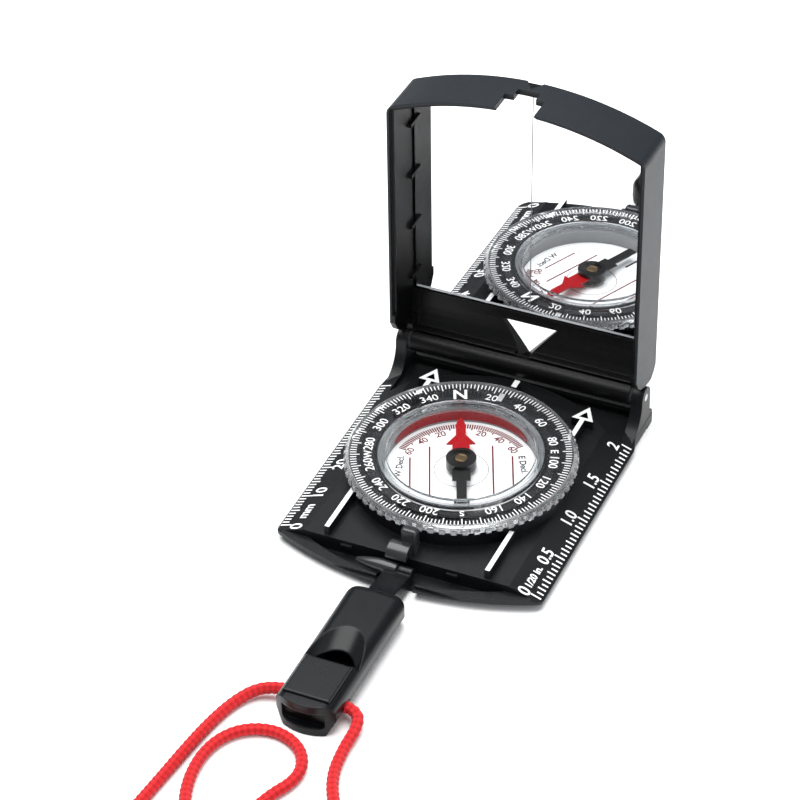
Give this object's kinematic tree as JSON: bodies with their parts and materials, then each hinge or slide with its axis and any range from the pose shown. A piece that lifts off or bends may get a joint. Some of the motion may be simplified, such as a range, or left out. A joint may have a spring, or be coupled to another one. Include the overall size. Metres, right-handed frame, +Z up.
{
  "type": "sighting compass",
  "caption": "Folding mirror compass: base plate with scales, turning dial over a floating needle, hinged mirror lid with a sighting notch, and a whistle on a cord lanyard.",
  "frame": {"origin": "on the flat underside, on the axis the dial turns about", "axes": "+Z up out of the dial, +Y towards the lid's hinge, -Y towards the whistle, +X to the right of someone who sights along the compass from the whistle's end"},
  "size_m": [0.0588, 0.2063, 0.0769],
  "materials": {
    "black_moulding": "satin black moulded plastic",
    "lid_moulding": "blue-black moulded plastic, satin",
    "clear_ring": "clear acrylic",
    "clear_cup": "clear acrylic",
    "lens": "clear acrylic",
    "card_white": "translucent white plastic",
    "steel": "bright steel",
    "magnet_steel": "dull steel",
    "needle_red": "red paint",
    "needle_black": "black paint",
    "jewel_brass": "polished brass",
    "rubber_black": "matt rubber",
    "mirror": "glass mirror",
    "pad_foam": "adhesive foam pad",
    "clip_grey": "satin grey-black plastic",
    "cord_red": "braided red cord"
  },
  "bodies": {
    "base": {"base_plate": "black_moulding", "hinge_pin_left": "steel", "hinge_pin_right": "steel", "friction_washer_left": "rubber_black", "friction_washer_right": "rubber_black", "catch_clip": "clip_grey", "dial_friction_ring": "rubber_black"},
    "dial": {"bezel_ring": "clear_ring", "capsule_base": "clear_cup", "capsule_retaining_ring": "black_moulding", "meridian_plate": "card_white", "pivot_post": "steel", "capsule_seal": "rubber_black", "capsule_lens": "lens", "lens_rim": "clear_cup"},
    "needle": {"needle_north": "needle_red", "needle_south": "needle_black", "needle_magnet": "magnet_steel", "needle_hub": "clear_cup", "needle_jewel": "jewel_brass"},
    "lid": {"lid_shell": "lid_moulding", "mirror_glass": "mirror", "mirror_pad": "pad_foam"},
    "whistle": {"toggle_bar": "clip_grey", "whistle_neck": "clip_grey", "whistle_body": "black_moulding", "whistle_mouth_block": "clip_grey", "lanyard_through": "cord_red", "lanyard_left_run": "cord_red", "lanyard_right_run": "cord_red", "lanyard_coil": "cord_red"}
  },
  "joints": [
    {"name": "lid_hinge", "type": "hinge", "parent": "base", "child": "lid", "pos_m": [0, 0.033, 0.0094], "axis": [1, 0, 0], "range_deg": [-75, 91.5]},
    {"name": "dial_turn", "type": "hinge", "parent": "base", "child": "dial", "pos_m": [0, 0, 0], "axis": [0, 0, 1], "continuous": true},
    {"name": "needle_swing", "type": "hinge", "parent": "dial", "child": "needle", "pos_m": [0, 0, 0.008], "axis": [0, 0, 1], "continuous": true},
    {"name": "whistle_lift", "type": "hinge", "parent": "base", "child": "whistle", "pos_m": [0, -0.0314, 0.0036], "axis": [1, 0, 0], "range_deg": [-35, 0]}
  ]
}
